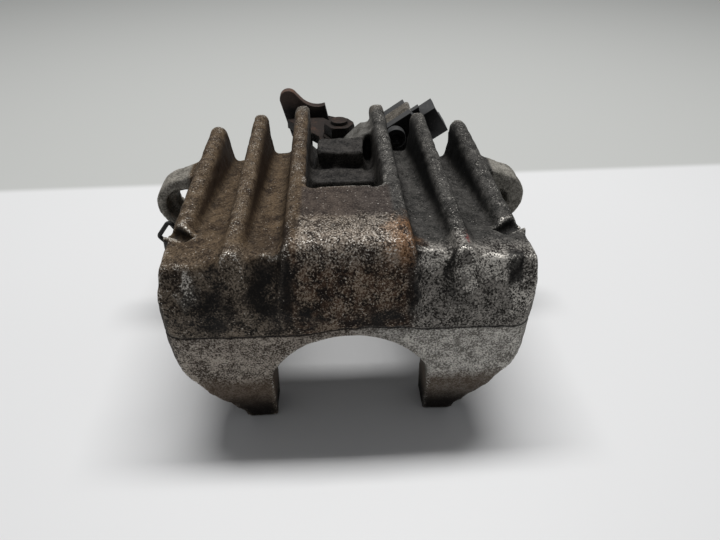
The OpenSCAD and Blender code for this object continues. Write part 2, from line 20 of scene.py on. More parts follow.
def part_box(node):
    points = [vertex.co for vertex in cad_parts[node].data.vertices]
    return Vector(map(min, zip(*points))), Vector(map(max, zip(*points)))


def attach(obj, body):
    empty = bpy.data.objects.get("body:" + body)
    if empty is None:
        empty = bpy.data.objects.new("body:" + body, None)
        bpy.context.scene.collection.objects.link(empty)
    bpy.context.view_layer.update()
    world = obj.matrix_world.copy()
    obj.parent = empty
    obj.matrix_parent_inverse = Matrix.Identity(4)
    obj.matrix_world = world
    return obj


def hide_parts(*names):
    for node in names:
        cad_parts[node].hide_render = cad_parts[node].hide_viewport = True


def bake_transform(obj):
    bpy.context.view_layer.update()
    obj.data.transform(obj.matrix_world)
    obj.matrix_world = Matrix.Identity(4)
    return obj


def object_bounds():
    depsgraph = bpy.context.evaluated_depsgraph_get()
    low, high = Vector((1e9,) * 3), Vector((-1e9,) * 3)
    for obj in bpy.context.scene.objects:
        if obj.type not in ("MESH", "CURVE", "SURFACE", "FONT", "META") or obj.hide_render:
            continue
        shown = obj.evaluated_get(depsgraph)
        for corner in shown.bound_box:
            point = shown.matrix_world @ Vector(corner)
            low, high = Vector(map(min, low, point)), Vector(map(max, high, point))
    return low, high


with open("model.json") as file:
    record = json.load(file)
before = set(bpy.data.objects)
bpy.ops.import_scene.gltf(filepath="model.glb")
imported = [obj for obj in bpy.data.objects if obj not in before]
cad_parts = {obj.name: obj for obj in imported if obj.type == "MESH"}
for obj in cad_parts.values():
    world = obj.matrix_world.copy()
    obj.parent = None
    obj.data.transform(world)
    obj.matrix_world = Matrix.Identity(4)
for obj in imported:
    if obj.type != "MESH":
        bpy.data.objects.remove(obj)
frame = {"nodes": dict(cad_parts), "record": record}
cad_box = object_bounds()
nodes = frame["nodes"]
record = frame["record"]
body_of = {node: body for body, members in record["behaviour"]["bodies"].items() for node in members}
slot_of = {part["node"]: part["material_slot"] for part in record["subparts"]}
mount = {m["name"]: m for m in record["mounts"]}
MM = 0.001


def in_mm(box):
    """A box in millimetres, for printing."""
    return [[round(v / MM, 2) for v in corner] for corner in box]


print(len(nodes), "pieces loaded, box in mm:", in_mm(cad_box))

# %% [markdown]
# ## Camera
# The photograph was taken from in front of the fingers, close by and looking down. A lens that near
# spreads the front face and narrows the rear, so the distance matters as much as the angle. The
# camera is placed by its eye point and three turns, and the lens follows from the focal length in
# pixels, because a picture 720 pixels wide then fills the usual 36 mm sensor.

# %% Stand the camera where the photograph was taken
eye = Vector((-4.3, -182, 137)) * MM
pitch, yaw, roll = (math.radians(turn) for turn in (37.8, 3.4, 0.4))
focal_px = 541
photo_px = 720
look = Vector((math.sin(yaw) * math.cos(pitch), math.cos(yaw) * math.cos(pitch), -math.sin(pitch)))
level = Vector((math.cos(yaw), -math.sin(yaw), 0))
upright = level.cross(look)
right = math.cos(roll) * level + math.sin(roll) * upright
up = math.cos(roll) * upright - math.sin(roll) * level
camera_data = bpy.data.cameras.new("photo_camera")
camera_data.sensor_width = 36
camera_data.lens = camera_data.sensor_width * focal_px / photo_px
camera_data.clip_start = 10 * MM
camera = bpy.data.objects.new("photo_camera", camera_data)
camera.matrix_world = Matrix.Translation(eye) @ Matrix((right, up, -look)).transposed().to_4x4()
bpy.context.scene.collection.objects.link(camera)
bpy.context.scene.camera = camera
print("lens", round(camera_data.lens, 2), "mm")

# %% [markdown]
# ## Shader sums
# A dirty casting is many masks multiplied, mixed and cut off at a threshold. Written as nodes that is
# a maze, so a small class wraps a socket and lets it stand in a sum: each plus, minus or times adds
# one Math node. Every other node comes from its one method, which sets the node up and then fills
# its sockets with numbers or links.


# %% A socket that can be used in sums
class Socket:
    """A shader socket that takes part in sums."""

    def __init__(self, tree, link):
        self.tree = tree
        self.link = link

    def node(self, kind, settings=None, inputs=None, output=0):
        """Any other node: its type, its settings, then the values or links of its sockets."""
        made = self.tree.nodes.new(kind)
        for name, value in (settings or {}).items():
            setattr(made, name, value)
        for name, value in (inputs or {}).items():
            if isinstance(value, Socket):
                self.tree.links.new(value.link, made.inputs[name])
            else:
                made.inputs[name].default_value = value
        return Socket(self.tree, made.outputs[output])

    def math(self, operation, first, second):
        return self.node("ShaderNodeMath", {"operation": operation}, {0: first, 1: second})

    def __add__(self, other):
        return self.math("ADD", self, other)

    def __radd__(self, other):
        return self.math("ADD", other, self)

    def __sub__(self, other):
        return self.math("SUBTRACT", self, other)

    def __rsub__(self, other):
        return self.math("SUBTRACT", other, self)

    def __mul__(self, other):
        return self.math("MULTIPLY", self, other)

    def __rmul__(self, other):
        return self.math("MULTIPLY", other, self)

    def __or__(self, other):
        return self.math("MAXIMUM", self, other)

    def __abs__(self):
        return self.math("ABSOLUTE", self, 0.0)


# %% [markdown]
# A few words for what the finishes share. `step` fades from 0 to 1 between two values, in either
# direction. `cloud` is noise with a size in millimetres, `blend` mixes two colours by a mask, and
# `spot` is a soft round patch at a place on the piece. All of them read the piece's own Object
# coordinates, so the dirt stays on the metal when a piece moves.


# %% Words that the finishes share
def step(value, start, end):
    limits = {"Value": value, "From Min": start, "From Max": end}
    return value.node("ShaderNodeMapRange", {"interpolation_type": "SMOOTHSTEP"}, limits)


def cloud(place, size, detail=3.0, roughness=0.55):
    inputs = {"Vector": place, "Scale": 1 / size, "Detail": detail, "Roughness": roughness}
    return place.node("ShaderNodeTexNoise", {}, inputs)


def blend(mask, below, above):
    return mask.node("ShaderNodeMix", {"data_type": "RGBA"}, {"Factor": mask, 6: below, 7: above}, 2)


def axes(place):
    split = place.node("ShaderNodeSeparateXYZ", {}, {0: place})
    return [Socket(place.tree, out) for out in split.link.node.outputs]


def spot(place, centre, size):
    """1 at the centre of a patch and 0 beyond its size, which may differ along the three axes."""
    off = place.node("ShaderNodeVectorMath", {"operation": "SUBTRACT"}, {0: place, 1: centre})
    off = off.node("ShaderNodeVectorMath", {"operation": "DIVIDE"}, {0: off, 1: size})
    return step(off.node("ShaderNodeVectorMath", {"operation": "LENGTH"}, {0: off}, "Value"), 1.0, 0.35)


def painted(place, name):
    """A mask that is kept on the mesh, point by point."""
    return place.node("ShaderNodeAttribute", {"attribute_name": name}, {}, "Fac")


def upward(place):
    """0 on walls and undersides, 1 on what looks up: where dust settles, and where painted light falls
    on the lever and the bracket.
    """
    normal = Socket(place.tree, place.tree.nodes.new("ShaderNodeTexCoord").outputs["Normal"])
    return step(axes(normal)[2], 0.15, 0.8)


def rgb(red, green, blue):
    """A colour as a screen shows it, 0 to 255, turned into the light that it reflects."""
    share = [c / 255 for c in (red, green, blue)]
    return [*(c / 12.92 if c <= 0.04045 else ((c + 0.055) / 1.055) ** 2.4 for c in share), 1.0]


def new_finish(name):
    """A material, its shader, and the place on the piece in millimetres."""
    material = bpy.data.materials.new(name)
    material.use_nodes = True
    tree = material.node_tree
    shader = tree.nodes["Principled BSDF"]
    place = Socket(tree, tree.nodes.new("ShaderNodeTexCoord").outputs["Object"])
    place = place.node("ShaderNodeVectorMath", {"operation": "SCALE"}, {0: place, "Scale": 1 / MM})
    return material, shader, place


def coat(shader, height, depth, **looks):
    """Plugs the finish into the shader; height is 0 to 1 and depth is its size in millimetres."""
    for name, value in looks.items():
        socket = shader.inputs[name.replace("_", " ").title()]
        if isinstance(value, Socket):
            height.tree.links.new(value.link, socket)
        else:
            socket.default_value = value
    bump = height.node("ShaderNodeBump", {}, {"Height": height, "Distance": depth * MM})
    height.tree.links.new(bump.link, shader.inputs["Normal"])


print("shader words ready")

# %% [markdown]
# ## Cast aluminium
# The casting is one alloy with several faces. Its left half is caked with brown road dirt and its
# right half with black brake dust. The front has lost part of it, so that grey oxide shows with
# bright crystals in it, like salt; on the rib crests such bright specks are also painted glints. The
# fingers are nearly bare. The rib crests are rubbed light, the corners are darkened, and soot sits in
# runs down the front. Painted shade darkens the steep walls, the sideways walls of the front on the
# left and the bottoms of the fingers. A photo of such a part would not fit this shape, so each face
# is two tones mixed by noise, and broad masks say where one face gives way to the next. Spots with a
# frayed edge add the stains.

# %% Colours of the casting, a pair where two tones are mixed by noise
# The wall tones of the mud and the dust are the dirt with painted shade: steep walls are painted
# darker.
mud, shaded_mud_wall = (rgb(36, 26, 17), rgb(99, 83, 64)), rgb(50, 38, 28)
dust, shaded_dust_wall = (rgb(20, 20, 18), rgb(74, 72, 69)), rgb(13, 13, 12)
rear_grime = rgb(46, 42, 37), rgb(112, 106, 97)
left_flank, right_flank = (rgb(40, 31, 23), rgb(98, 84, 69)), (rgb(32, 31, 29), rgb(92, 89, 84))
left_salt, right_salt = (rgb(22, 18, 14), rgb(132, 120, 106)), (rgb(30, 27, 24), rgb(154, 149, 142))
middle_crust, tan_crumb = (rgb(26, 17, 12), rgb(84, 64, 50)), rgb(164, 149, 131)
left_finger = rgb(62, 54, 47), rgb(182, 172, 160)
right_finger = rgb(104, 100, 94), rgb(216, 212, 204)
# The left side tone is painted shade on the sideways walls of the front.
left_side_shade, right_side = rgb(48, 45, 42), rgb(116, 113, 107)
# The tip tones are painted shade on the downward-facing bottoms of the fingers.
tip_shade_brown, tip_shade_black, deep_brown = rgb(82, 68, 55), rgb(22, 17, 13), rgb(26, 18, 13)
strip, pad_salt = (rgb(38, 31, 28), rgb(80, 71, 65)), (rgb(38, 30, 24), rgb(158, 147, 134))
slate, pit_wall = (rgb(15, 14, 13), rgb(68, 65, 62)), (rgb(26, 24, 22), rgb(70, 67, 63))
web_grey, ear_grey = (rgb(70, 67, 62), rgb(112, 110, 106)), (rgb(90, 87, 80), rgb(160, 156, 147))
left_worn, frame_worn, right_worn = rgb(130, 118, 104), rgb(98, 90, 82), rgb(114, 111, 106)
rubbed, turned = rgb(128, 125, 120), rgb(146, 143, 136)
# The crystal tone also serves for painted glints on the crests.
soot, crystal_and_glint = rgb(13, 11, 10), rgb(214, 209, 200)
orange, ear_rust, red_paint = rgb(150, 108, 70), rgb(96, 66, 38), rgb(128, 34, 36)
print("mud from", [round(c, 3) for c in mud[0][:3]], "to", [round(c, 3) for c in mud[1][:3]])

# %% Stains and bright patches: the centre and the reach of each, in millimetres
soot_stains = [((-42, -61, 28), (12, 16, 12)), ((-23.5, -61, 33), (12, 16, 16)),
               ((-12, -61, 26), (6, 8, 5)), ((10, -61, 25.5), (9, 8, 5)),
               ((20.5, -52, 44), (3, 16, 9)), ((20, -60, 34), (2.2, 9, 13)),
               ((30.5, -57, 37), (3, 12, 14)), ((-18, -57, 40), (4, 8, 7)), ((-39, -58, 40), (3, 8, 6))]
bright_patches = [((43.5, -58, 41), (8, 7, 6)), ((25, -56, 42), (5, 7, 6)), ((-24, -57, 44), (5, 5, 3)),
                  ((36, -59, 38), (2.6, 7, 9)), ((-48, -59, 37), (4, 6, 9)), ((52, -59, 30), (7, 8, 8))]
dirty_dip = (-23, -46, 40), (9, 10, 8)
rust_place = (16, -50, 47), (8, 14, 9)
paint_place = (37, -47.5, 46.5), (1.6, 4.5, 4)
rusty_rim = (-63, 11, 22), (9, 7, 9)
print(len(soot_stains), "stains and", len(bright_patches), "bright patches")


# %% The parting line of the mould, which hangs lower at the sides
def fade(value, start, end):
    """The same as step, for plain numbers."""
    share = min(max((value - start) / (end - start), 0), 1)
    return share * share * (3 - 2 * share)


def seam_height(x, between):
    """Height of the parting line in millimetres; between is step for sockets and fade for numbers."""
    return parting_z - between(x, -2, -16) * left_drop - between(x, 8, 26) * right_drop


parting_z, left_drop, right_drop = 20.9, 2.2, 1.2
print("parting line at", round(seam_height(-40, fade), 1), "to", round(seam_height(0, fade), 1), "mm")

# %% [markdown]
# The coats of the casting share their noises and masks, so these are made once and kept together.
# `wavy` shifts a border to and fro by a broad noise, because dirt never ends on a straight line, and
# `patches` takes the strongest of several spots.


# %% What the coats of the casting read
def casting_surface():
    """The casting's empty finish, with the noises and masks that its coats share."""
    material, shader, place = new_finish("cast_alloy")
    shader.inputs["Specular IOR Level"].default_value = 0.15
    on = SimpleNamespace(material=material, shader=shader)
    on.x, on.y, on.z = axes(place)
    for mask in ("wear", "crevice", "machined", "upward", "sideways"):
        setattr(on, mask, painted(place, mask))
    on.blotch, on.lump = cloud(place, 6, 4), cloud(place, 2.4, 3)
    on.grit, on.fleck = cloud(place, 0.6, 3, 0.65), cloud(place, 0.45, 1)
    fray = place.node("ShaderNodeTexNoise", {}, {"Vector": place, "Scale": 1 / 5, "Detail": 5.0},
                      "Color")
    frayed = place.node("ShaderNodeVectorMath", {"operation": "MULTIPLY_ADD"},
                        {0: fray, 1: (14, 14, 14), 2: place})
    on.frayed = place.node("ShaderNodeVectorMath", {"operation": "SUBTRACT"}, {0: frayed, 1: (7, 7, 7)})
    on.left = step(wavy(on, on.x, 14), 10, -4)
    on.tone = step(on.blotch * 0.3 + on.lump * 0.25 + on.grit * 0.45, 0.38, 0.62)
    on.salt = step(on.grit * 0.55 + on.lump * 0.25 + on.blotch * 0.2, 0.42, 0.60)
    on.crumbs = step(on.grit * 0.7 + on.blotch * 0.3, 0.49, 0.60)
    return on


def wavy(on, value, reach):
    return value + (on.blotch - 0.5) * reach


def patches(on, places):
    covered = spot(on.frayed, *places[0])
    for centre, size in places[1:]:
        covered = covered | spot(on.frayed, centre, size)
    return covered


print("noises of 6, 2.4, 0.6 and 0.45 mm, and five painted masks")


# %% Road dirt, brake dust and grime
def dirt_coats(on):
    """Mud on the left, brake dust on the right, both darker on steep walls with painted shade; grime on
    the rear and on the outer walls.
    """
    # Steep walls get the darker wall tone, which is dirt together with painted shade, since walls get
    # little light from above.
    mud_and_wall_shade = blend(on.upward, shaded_mud_wall, blend(on.tone, *mud))
    dust_and_wall_shade = blend(on.upward, shaded_dust_wall, blend(on.tone, *dust))
    colour = blend(on.left, dust_and_wall_shade, mud_and_wall_shade)
    rear = step(wavy(on, on.y, 6), 44, 50) | (step(wavy(on, on.z, 8), 16, 8) * step(on.y, 2, 5))
    colour = blend(rear * 0.85, colour, blend(on.tone, *rear_grime))
    flank = blend(on.left, blend(on.tone, *right_flank), blend(on.tone, *left_flank))
    return blend(step(abs(on.x), 54, 56.5) * on.sideways * 0.85, colour, flank)


print("dirt coats ready")


# %% Oxide crust of the front, and the bare fingers below the parting line
def front_coats(on, colour):
    on.middle = step(abs(wavy(on, on.x, 9)), 21, 16)
    on.front = step(wavy(on, on.y, 12), -45, -52) * (1 - on.upward * step(on.x, -14, -18) * 0.9)
    crust = blend(on.left, blend(on.salt, *right_salt), blend(on.salt, *left_salt))
    brown = blend(step(on.lump * 0.5 + on.blotch * 0.5, 0.42, 0.58), *middle_crust)
    crust = blend(on.middle, crust, blend(on.crumbs * 0.85, brown, tan_crumb))
    colour = blend(on.front, colour, crust)
    on.over_seam = wavy(on, on.z - seam_height(on.x, step), 1.6)
    finger = step(wavy(on, on.over_seam, 2), 0.8, -0.8) * step(on.y, -40, -46)
    bare = blend(on.left, blend(on.salt, *right_finger), blend(on.salt, *left_finger))
    colour = blend(finger, colour, bare)
    # Sideways walls of the front get a smooth tone of their own; the dark one on the left is painted
    # shade.
    colour = blend(on.sideways * on.front * 0.85, colour, blend(on.left, right_side, left_side_shade))
    # Painted shade: the fingers turn brown and then nearly black towards their bottoms, which face
    # down, away from the lamp.
    colour = blend(step(wavy(on, on.z, 6), 2, -5) * finger * 0.8, colour, tip_shade_brown)
    return blend(step(wavy(on, on.z, 4), -6, -20) * finger, colour, tip_shade_black)


print("front coats ready")


# %% Pad between the middle ribs, and the deck and lump in the window behind it
def pad_coats(on, colour):
    between_ribs = step(abs(on.x), 15.5, 13.5)
    on.pad_strip = between_ribs * step(wavy(on, on.y, 5), -43, -39) * step(on.y, -20, -22) * on.upward
    colour = blend(on.pad_strip * 0.85, colour, blend(on.tone, *strip))
    on.pad_edge = step(abs(on.x), 16, 14) * step(wavy(on, on.y, 9), -38, -43)
    on.pad_edge = on.pad_edge * step(wavy(on, on.z, 6), 39, 45)
    colour = blend(on.pad_edge * 0.8, colour, blend(on.salt, *pad_salt))
    on.pit = between_ribs * step(on.y, -22.6, -21.8) * step(on.y, 50, 45)
    on.pit = on.pit * step(on.z, 22, 27) * step(on.z, 47, 46)
    gusset = step(on.x, 1, 3) * step(on.y, 29, 31)
    deck = blend(gusset, blend(on.tone, *slate), blend(on.tone, *web_grey))
    return blend(on.pit, colour, blend(on.upward, blend(on.tone, *pit_wall), deck))


print("pad coats ready")


# %% Darkened corners, soot in runs, dirt in the gutters beside the pad, and a darker lower front
def soot_coats(on, colour):
    notch = step(abs(on.x), 46, 48) * step(on.y, -44, -42) * step(on.y, -32.5, -34) * step(on.z, 35, 38)
    notch = notch * (on.crevice | (1 - on.upward))
    stain = patches(on, soot_stains) * step(on.blotch * 0.5 + on.grit * 0.5, 0.72, 0.50)
    streak = step(abs(wavy(on, on.x - 49.8, 4)), 2.9, 1.6) * step(on.z, 32, 36) * step(on.y, -50, -54)
    # The corners found by the crevice mask and the walls of the notches are darkened to near black.
    on.black = (stain * 0.94) | (on.crevice * 0.8) | notch | (streak * 0.95)
    gutter = step(abs(wavy(on, abs(on.x) - 18.6, 2)), 2.0, 0.6)
    gutter = gutter * step(on.y, -34, -46) * step(on.z, 21, 25)
    # The middle of the front is also made darker towards the bottom.
    under = on.middle * on.front * step(wavy(on, on.z, 12), 36, 24)
    dip = spot(on.frayed, *dirty_dip)
    colour = blend((gutter * 0.75) | (under * 0.25) | (dip * 0.5), colour, deep_brown)
    return blend(on.black, colour, soot)


print("soot coats ready")


# %% Rubbed crests and ridges, rust, and bright crystals that are also painted glints on the crests
def worn_coats(on, colour):
    on.bright = patches(on, bright_patches)
    colour = blend(on.bright * (0.1 + on.salt * 0.5), colour, rubbed)
    worn = blend(on.left, right_worn, left_worn)
    worn = blend(step(abs(on.x + 17), 5, 3.5), worn, frame_worn)
    ridge = step(abs(abs(on.x - 1.4) - 33.7), 2.8, 0.8) * step(on.y, -48, -54) * step(on.z, 22, 31)
    crest = (on.wear * (0.08 + on.salt * 0.75)) | (ridge * (0.1 + on.crumbs * 0.85))
    colour = blend(crest * (1 - on.pit), colour, worn)
    rust_run = spot(on.frayed, *rust_place) * step(on.grit * 0.6 + on.blotch * 0.4, 0.42, 0.58)
    colour = blend(rust_run * 0.6, colour, orange)
    # Bright specks are crystals in the oxide of the front, and on the worn crests they are also painted
    # glints.
    more = on.front * 0.02 + on.bright * 0.14 + on.wear * 0.15 + on.pad_edge * 0.05
    less = on.pit * 0.3 + (on.sideways | step(on.z, 2, -8)) * 0.06 + on.black * 0.1
    on.sparkle = step(on.fleck * 0.5 + on.grit * 0.5 + more - less, 0.61, 0.72)
    return blend(on.sparkle * 0.9, colour, crystal_and_glint)


print("worn coats ready")


# %% Parting line, paint mark, ears and machined places
def small_marks(on, colour):
    on.seam = step(abs(on.over_seam), 0.42, 0.12) * step(on.y, -46, -50)
    colour = blend(on.seam * 0.85, colour, soot)
    mark = spot(on.frayed, *paint_place) * step(on.grit, 0.42, 0.52)
    colour = blend(mark * 0.85, colour, red_paint)
    ear = step(abs(on.x), 58.5, 60.5) * step(on.y, 2, 5)
    colour = blend(ear * 0.85, colour, blend(on.tone, *ear_grey))
    rim = spot(on.frayed, *rusty_rim) * step(on.blotch * 0.5 + on.grit * 0.5, 0.4, 0.56)
    colour = blend(rim * 0.8, colour, ear_rust)
    return blend(on.machined * step(on.blotch, 0.78, 0.42), colour, turned)


print("small marks ready")


# %% All coats on one finish, with the grain and the gloss of the skin
def cast_alloy():
    on = casting_surface()
    colour = dirt_coats(on)
    for coats in (front_coats, pad_coats, soot_coats, worn_coats, small_marks):
        colour = coats(on, colour)
    grain = on.lump * 0.25 + on.grit * 0.5 * (0.3 + on.front * 0.7)
    grain = grain * (1 - on.machined * 0.85) * (1 - on.pad_strip * 0.5) - on.seam * 0.5
    gloss = 0.72 - on.sparkle * 0.28 - on.wear * 0.1 - on.machined * 0.34 - on.black * 0.14
    coat(on.shader, grain, 0.45, base_color=colour, roughness=gloss,
         metallic=on.sparkle * 0.4 + on.machined * 0.7)
    return on.material


print("casting finish ready")

# %% [markdown]
# ## Steel, rubber and bronze
# The small parts each show one thing that happened to them. The lever was stamped, left bare and
# rusted: its walls are nearly black, partly with painted shade, its hook is brown, and the rust is
# bright on its upward faces high up, which is rust with painted light on it. The bracket has a smooth
# black coat, lighter on its upper faces with dust and painted light. Zinc plating turns dull and
# spotty, springs stay oily and dark, bronze bushes are sintered and full of pores, and the piston is
# ground bright. Each finish is two or three tones, a roughness that follows them, and a fine bump.


# %% Finishes of the small parts
def rusty_steel():
    material, shader, place = new_finish("rusty_steel")
    shader.inputs["Specular IOR Level"].default_value = 0.2
    patch, crumb = cloud(place, 6, 4), cloud(place, 0.9, 3)
    # Rust is painted on the upward faces and is strongest high up on the hook: rust together with
    # painted light on the lit tops. The near-black base tone is partly painted shade on the walls.
    lit_and_wet = upward(place) * 0.7 + step(patch * 0.6 + crumb * 0.4, 0.48, 0.62) * 0.4
    x, y, z = axes(place)
    hook = step(x, -6, -12)
    rust = step(lit_and_wet + (crumb - 0.5) * 0.5, 0.3, 0.9) * (0.6 + hook * 0.4)
    rust = rust * (0.25 + step(z, 33, 36) * 0.75)
    film = step(z + (patch - 0.5) * 8, 28, 37) * hook * 0.75
    colour = blend(rust, blend(film, rgb(20, 17, 15), rgb(92, 78, 71)), rgb(84, 68, 60))
    colour = blend(step(crumb * 0.5 + patch * 0.5, 0.52, 0.64) * rust, colour, rgb(106, 74, 56))
    coat(shader, crumb * 0.6 + patch * 0.4, 0.35, base_color=colour, roughness=0.58 + rust * 0.25)
    return material


def dark_steel():
    material, shader, place = new_finish("dark_steel")
    shader.inputs["Specular IOR Level"].default_value = 0.25
    film, grain = cloud(place, 9, 3), cloud(place, 0.8, 2)
    # The upper faces are painted lighter grey: dust together with painted light.
    dust = (upward(place) * 0.8 + 0.05) * step(film * 0.6 + grain * 0.4, 0.25, 0.55)
    colour = blend(dust, rgb(15, 15, 16), rgb(72, 72, 72))
    colour = blend(step(grain, 0.68, 0.74) * 0.6, colour, rgb(112, 109, 102))
    coat(shader, grain * 0.5 + film * 0.5, 0.12, base_color=colour, roughness=0.4 + dust * 0.25)
    return material


def plated_steel():
    material, shader, place = new_finish("plated_steel")
    bloom, grain = cloud(place, 4, 4), cloud(place, 0.5, 2)
    dull = step(bloom, 0.42, 0.62)
    colour = blend(dull, rgb(150, 146, 132), rgb(104, 98, 86))
    colour = blend(step(bloom * 0.6 + grain * 0.4, 0.6, 0.68), colour, rgb(86, 58, 38))
    coat(shader, grain, 0.08, base_color=colour, roughness=0.36 + dull * 0.25,
         metallic=0.85 - dull * 0.4)
    return material


def spring_steel():
    material, shader, place = new_finish("spring_steel")
    film, grain = cloud(place, 3, 3), cloud(place, 0.4, 2)
    oil = step(film, 0.4, 0.6)
    colour = blend(oil, rgb(92, 88, 84), rgb(52, 49, 47))
    colour = blend(step(grain * 0.5 + film * 0.5, 0.58, 0.66), colour, rgb(96, 60, 38))
    coat(shader, grain, 0.06, base_color=colour, roughness=0.5 - oil * 0.15, metallic=0.7)
    return material


def rubber():
    material, shader, place = new_finish("rubber")
    film, grain = cloud(place, 5, 4), cloud(place, 0.35, 2)
    dust = step(film, 0.5, 0.72)
    colour = blend(dust * 0.6, rgb(27, 27, 28), rgb(68, 64, 58))
    coat(shader, grain * 0.6 + film * 0.4, 0.1, base_color=colour, roughness=0.62 + dust * 0.2)
    return material


def bronze():
    material, shader, place = new_finish("bronze")
    tone, pore = cloud(place, 3, 3), cloud(place, 0.25, 1)
    pores = step(pore, 0.6, 0.68)
    colour = blend(step(tone, 0.4, 0.6), rgb(168, 122, 66), rgb(128, 92, 52))
    colour = blend(pores, colour, rgb(60, 42, 26))
    coat(shader, 1 - pores, 0.05, base_color=colour, roughness=0.38 + pores * 0.3, metallic=0.9)
    return material


def piston_steel():
    material, shader, place = new_finish("piston_steel")
    flat = place.node("ShaderNodeVectorMath", {"operation": "MULTIPLY"}, {0: place, 1: (1, 0, 1)})
    radius = flat.node("ShaderNodeVectorMath", {"operation": "LENGTH"}, {0: flat}, "Value")
    rings = radius.node("ShaderNodeTexNoise", {"noise_dimensions": "1D"}, {"W": radius, "Scale": 4.0})
    film = cloud(place, 6, 4)
    varnish = step(film, 0.5, 0.7)
    colour = blend(varnish * 0.6, rgb(186, 186, 184), rgb(122, 100, 72))
    coat(shader, rings, 0.03, base_color=colour, roughness=0.24 + varnish * 0.25, metallic=0.95)
    return material


finishes = {make.__name__: make() for make in (
    cast_alloy, rusty_steel, dark_steel, plated_steel, spring_steel, rubber, bronze, piston_steel)}
for node, piece in nodes.items():
    piece.data.materials.clear()
    piece.data.materials.append(finishes[slot_of[node]])
print("nodes in each finish:", {name: len(made.node_tree.nodes) for name, made in finishes.items()})

# %% [markdown]
# ## Helpers for new pieces
# A new piece often starts as a copy of a construction solid. That mesh is loose triangles, so its
# doubles are merged first. `settle` turns a finished bmesh into a named piece with a finish, sets it
# on its body and hides the solid that it stands for.


# %% Copy a solid, and settle a finished piece
def copy_of(node):
    bm = bmesh.new()
    bm.from_mesh(nodes[node].data)
    bmesh.ops.remove_doubles(bm, verts=bm.verts, dist=0.001 * MM)
    return bm


def as_object(bm, name):
    mesh = bpy.data.meshes.new(name)
    bm.to_mesh(mesh)
    bm.free()
    made = bpy.data.objects.new(name, mesh)
    bpy.context.scene.collection.objects.link(made)
    return made


def settle(piece, node, ride=True):
    """Finish, body and material slot of a piece that stands for a construction solid."""
    piece.data.materials.clear()
    piece.data.materials.append(finishes[slot_of[node]])
    if ride:
        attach(piece, body_of[node])
    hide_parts(node)
    print(piece.name, "has", len(piece.data.polygons), "faces")


# %% [markdown]
# ## The casting
# A sand casting has no sharp edge: its corners are rounded by the mould, its inner corners are
# filled so that the metal can flow, and its skin is never quite flat. Bevelling hundreds of edges by
# hand would be slow. Instead the solid is wrapped in an even skin of quads, the skin is smoothed a
# little everywhere and much in the hollows, and then pressed in by noise. Machined places, such as
# the bore, the ears' faces and the finger pads, are kept out of the smoothing and laid back on the
# solid.

# %% Wrap the casting in an even skin
skin_size = 0.97 * MM
housing = as_object(copy_of("caliper_housing"), "cast_housing")
wrap = housing.modifiers.new("skin", "REMESH")
wrap.mode = "VOXEL"
wrap.voxel_size = skin_size
wrapped = bpy.data.meshes.new_from_object(housing.evaluated_get(bpy.context.evaluated_depsgraph_get()))
housing.modifiers.clear()
skin = bmesh.new()
skin.from_mesh(wrapped)
print("skin of", len(skin.verts), "points")

# %% Mark what was machined
points = np.array([v.co for v in skin.verts]) / MM
bore_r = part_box("piston")[1].x / MM
mouth_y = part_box("boot_ring")[0].y / MM - 0.6
back_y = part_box("thrust_washer")[1].y / MM
shaft_y = (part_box("cam_shaft")[0].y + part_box("cam_shaft")[1].y) / 2 / MM
tower_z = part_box("shaft_seal")[1].z / MM - 0.1
ear_x = mount["guide_bolts"]["dims"]["spacing_x_mm"] / 2
ear_z = mount["guide_bolts"]["pos_m"][2] / MM
ear_back_y = mount["guide_bolts"]["pos_m"][1] / MM
ear_t = 12
ear_front_y = ear_back_y - ear_t
port_y, port_z = (c / MM for c in mount["hose_port"]["pos_m"][1:])
pad_y = mount["finger_face"]["pos_m"][1] / MM
bolt_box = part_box("bracket_bolt")
bolt_x = (bolt_box[0].x + bolt_box[1].x) / 2 / MM
bolt_z = (bolt_box[0].z + bolt_box[1].z) / 2 / MM
lug_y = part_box("cable_bracket")[0].y / MM + 5


def turned_zone(axis, centre, radius, low, high):
    """Which points lie in a drilled or turned place: a cylinder along X, Y or Z."""
    across = points[:, [i for i in range(3) if i != axis]] - np.array(centre)
    along = points[:, axis]
    return (np.hypot(across[:, 0], across[:, 1]) < radius) & (along > low) & (along < high)


X, Y, Z = range(3)
bore_axis, shaft_axis, port_axis = (0, 0), (0, shaft_y), (port_y, port_z)
bare_zones = [
    turned_zone(Y, bore_axis, bore_r + 4.2, mouth_y - 1, back_y - 7.5),  # bore with its grooves
    turned_zone(Y, bore_axis, bore_r + 5.2, mouth_y - 1, mouth_y + 0.5),  # face of the mouth
    turned_zone(Y, bore_axis, 15.2, back_y - 9, back_y + 0.6),  # pocket behind the bore
    turned_zone(Y, bore_axis, 5.4, back_y, shaft_y),  # hole of the spindle's journal
    turned_zone(Z, shaft_axis, 9.9, -30, tower_z + 1),  # bore of the cam shaft
    turned_zone(Z, shaft_axis, 12.4, tower_z - 0.4, tower_z + 1),  # face of the tower
    turned_zone(X, port_axis, 5.0, -40, 40) & (abs(points[:, X]) > bore_r),  # both ports
    turned_zone(X, port_axis, 8.0, 36.6, 38),  # seat of the hose
    turned_zone(Y, (bolt_x, bolt_z), 3.8, lug_y - 1, lug_y + 13),  # thread of the bracket's bolt
    (abs(points[:, Y] - pad_y) < 0.5) & (points[:, Z] < 24),  # faces of the fingers
]
ear_zones = [
    turned_zone(Y, (-ear_x, ear_z), 8.1, ear_front_y - 1, ear_back_y + 1),  # left hole, sunk
    turned_zone(Y, (ear_x, ear_z), 5.1, ear_front_y - 1, ear_back_y + 1),  # right hole
    turned_zone(Y, (-ear_x, ear_z), 10.2, ear_back_y - 0.5, ear_back_y + 0.5),  # their rear faces
    turned_zone(Y, (ear_x, ear_z), 10.2, ear_back_y - 0.5, ear_back_y + 0.5),
]
bare_metal = np.any(bare_zones, axis=0)
